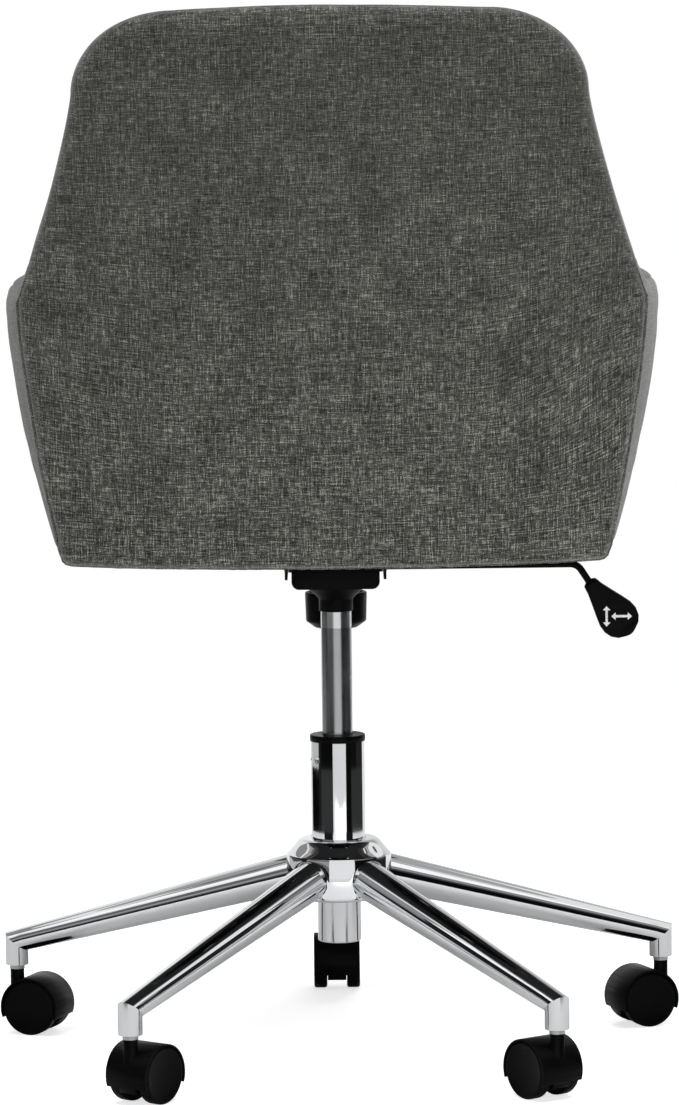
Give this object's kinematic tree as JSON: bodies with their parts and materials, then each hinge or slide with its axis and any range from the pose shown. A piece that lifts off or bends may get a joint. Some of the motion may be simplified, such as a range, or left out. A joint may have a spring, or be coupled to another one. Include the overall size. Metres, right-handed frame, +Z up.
{
  "type": "swivel office chair",
  "caption": "Upholstered tub swivel chair on a gas lift, with a tilt mechanism, a height lever and a polished star base on twin-wheel casters.",
  "frame": {"origin": "on the floor, under the axis of the gas lift", "axes": "+Z up along the gas lift, +Y to the front of the chair, +X to the side of the height lever"},
  "size_m": [0.6338, 0.6612, 0.956],
  "materials": {
    "chrome": "polished chrome plate",
    "steel": "satin steel",
    "black_plastic": "black nylon, fine satin grain",
    "black_metal": "black powder coat",
    "nylon": "dark grey nylon",
    "rubber": "black rubber",
    "fabric": "charcoal linen-look weave with light and dark slubs",
    "dust_cloth": "black non-woven cloth",
    "plywood": "raw plywood"
  },
  "bodies": {
    "base": {"hub_shell": "chrome", "hub_sleeve": "chrome", "base_arms": "chrome", "caster_sockets": "chrome", "stem_bushes": "nylon", "column_tube": "chrome", "cap_ring": "black_plastic", "guide_bush": "nylon", "thrust_bearing": "steel"},
    "spindle": {"piston_rod": "steel", "piston": "nylon", "rod_clip": "steel", "rubber_bumper": "rubber", "upper_race": "steel"},
    "mechanism": {"gas_cylinder": "steel", "taper_socket": "black_metal", "tilt_housing": "black_metal", "tension_spring": "steel"},
    "valve": {"valve_button": "steel"},
    "tension": {"tension_bolt": "steel"},
    "knob": {"tension_knob": "black_plastic"},
    "barrel": {"lever_barrel": "nylon"},
    "lever": {"lever_rod": "black_metal", "lever_paddle": "black_plastic"},
    "seat": {"seat_plate": "black_metal", "flange_left": "black_metal", "flange_right": "black_metal", "tilt_axle": "steel", "axle_clips": "steel", "seat_bolts": "steel", "seat_board": "plywood", "dust_cover": "dust_cloth", "deck_pad": "fabric", "seat_cushion": "fabric", "front_rail": "fabric", "back_pad": "fabric", "back_panel": "fabric", "arm_left": "fabric", "arm_right": "fabric"},
    "caster_1": {"caster_hood_1": "black_plastic", "caster_pins_1": "steel"},
    "left_wheel_1": {"wheel_left_1": "black_plastic"},
    "right_wheel_1": {"wheel_right_1": "black_plastic"},
    "caster_2": {"caster_hood_2": "black_plastic", "caster_pins_2": "steel"},
    "left_wheel_2": {"wheel_left_2": "black_plastic"},
    "right_wheel_2": {"wheel_right_2": "black_plastic"},
    "caster_3": {"caster_hood_3": "black_plastic", "caster_pins_3": "steel"},
    "left_wheel_3": {"wheel_left_3": "black_plastic"},
    "right_wheel_3": {"wheel_right_3": "black_plastic"},
    "caster_4": {"caster_hood_4": "black_plastic", "caster_pins_4": "steel"},
    "left_wheel_4": {"wheel_left_4": "black_plastic"},
    "right_wheel_4": {"wheel_right_4": "black_plastic"},
    "caster_5": {"caster_hood_5": "black_plastic", "caster_pins_5": "steel"},
    "left_wheel_5": {"wheel_left_5": "black_plastic"},
    "right_wheel_5": {"wheel_right_5": "black_plastic"}
  },
  "joints": [
    {"name": "caster_swivel_1", "type": "hinge", "parent": "base", "child": "caster_1", "pos_m": [-0.00332, 0.31698, 0.07], "axis": [0, 0, 1], "continuous": true},
    {"name": "left_wheel_spin_1", "type": "hinge", "parent": "caster_1", "child": "left_wheel_1", "pos_m": [-0.00332, 0.29698, 0.0255], "axis": [1, 0, 0], "continuous": true},
    {"name": "right_wheel_spin_1", "type": "hinge", "parent": "caster_1", "child": "right_wheel_1", "pos_m": [-0.00332, 0.29698, 0.0255], "axis": [1, 0, 0], "continuous": true},
    {"name": "caster_swivel_2", "type": "hinge", "parent": "base", "child": "caster_2", "pos_m": [-0.30249, 0.0948, 0.07], "axis": [0, 0, 1], "continuous": true},
    {"name": "left_wheel_spin_2", "type": "hinge", "parent": "caster_2", "child": "left_wheel_2", "pos_m": [-0.2837, 0.08796, 0.0255], "axis": [0.342, 0.9397, 0], "continuous": true},
    {"name": "right_wheel_spin_2", "type": "hinge", "parent": "caster_2", "child": "right_wheel_2", "pos_m": [-0.2837, 0.08796, 0.0255], "axis": [0.342, 0.9397, 0], "continuous": true},
    {"name": "caster_swivel_3", "type": "hinge", "parent": "base", "child": "caster_3", "pos_m": [-0.18363, -0.2584, 0.07], "axis": [0, 0, 1], "continuous": true},
    {"name": "left_wheel_spin_3", "type": "hinge", "parent": "caster_3", "child": "left_wheel_3", "pos_m": [-0.1716, -0.24242, 0.0255], "axis": [-0.7986, 0.6018, 0], "continuous": true},
    {"name": "right_wheel_spin_3", "type": "hinge", "parent": "caster_3", "child": "right_wheel_3", "pos_m": [-0.1716, -0.24242, 0.0255], "axis": [-0.7986, 0.6018, 0], "continuous": true},
    {"name": "caster_swivel_4", "type": "hinge", "parent": "base", "child": "caster_4", "pos_m": [0.189, -0.25449, 0.07], "axis": [0, 0, 1], "continuous": true},
    {"name": "left_wheel_spin_4", "type": "hinge", "parent": "caster_4", "child": "left_wheel_4", "pos_m": [0.17697, -0.23852, 0.0255], "axis": [-0.7986, -0.6018, 0], "continuous": true},
    {"name": "right_wheel_spin_4", "type": "hinge", "parent": "caster_4", "child": "right_wheel_4", "pos_m": [0.17697, -0.23852, 0.0255], "axis": [-0.7986, -0.6018, 0], "continuous": true},
    {"name": "caster_swivel_5", "type": "hinge", "parent": "base", "child": "caster_5", "pos_m": [0.30044, 0.10111, 0.07], "axis": [0, 0, 1], "continuous": true},
    {"name": "left_wheel_spin_5", "type": "hinge", "parent": "caster_5", "child": "left_wheel_5", "pos_m": [0.2819, 0.09362, 0.0255], "axis": [0.3746, -0.9272, 0], "continuous": true},
    {"name": "right_wheel_spin_5", "type": "hinge", "parent": "caster_5", "child": "right_wheel_5", "pos_m": [0.2819, 0.09362, 0.0255], "axis": [0.3746, -0.9272, 0], "continuous": true},
    {"name": "seat_swivel", "type": "hinge", "parent": "base", "child": "spindle", "pos_m": [0, 0, 0.112], "axis": [0, 0, 1], "continuous": true},
    {"name": "seat_lift", "type": "slide", "parent": "spindle", "child": "mechanism", "axis": [0, 0, 1], "range_m": [-0.1, 0]},
    {"name": "valve_press", "type": "slide", "parent": "mechanism", "child": "valve", "axis": [0, 0, 1], "range_m": [-0.0025, 0]},
    {"name": "seat_tilt", "type": "hinge", "parent": "mechanism", "child": "seat", "pos_m": [0, 0.03, 0.445], "axis": [1, 0, 0], "range_deg": [0, 11], "stiffness_Nm_per_rad": 160, "springref_deg": -20.05},
    {"name": "tension_travel", "type": "slide", "parent": "mechanism", "child": "tension", "axis": [0, 0, 1], "range_m": [0, 0.0125], "deforming": ["tension_spring"]},
    {"name": "knob_turn", "type": "hinge", "parent": "tension", "child": "knob", "pos_m": [0, 0.09, 0.39], "axis": [0, 0, 1], "range_deg": [-1080, 1080]},
    {"name": "lever_lift", "type": "hinge", "parent": "mechanism", "child": "barrel", "pos_m": [0.035, 0, 0.4438], "axis": [0, -1, 0], "range_deg": [0, 3], "stiffness_Nm_per_rad": 4, "springref_deg": -5.73},
    {"name": "lever_slide", "type": "slide", "parent": "barrel", "child": "lever", "axis": [1, 0, 0], "range_m": [0, 0.012]}
  ],
  "couplings": [
    {"joint": "tension_travel", "follows": "seat_tilt", "m_per_rad": 0.0632},
    {"joint": "valve_press", "follows": "lever_lift", "m_per_rad": -0.035}
  ]
}
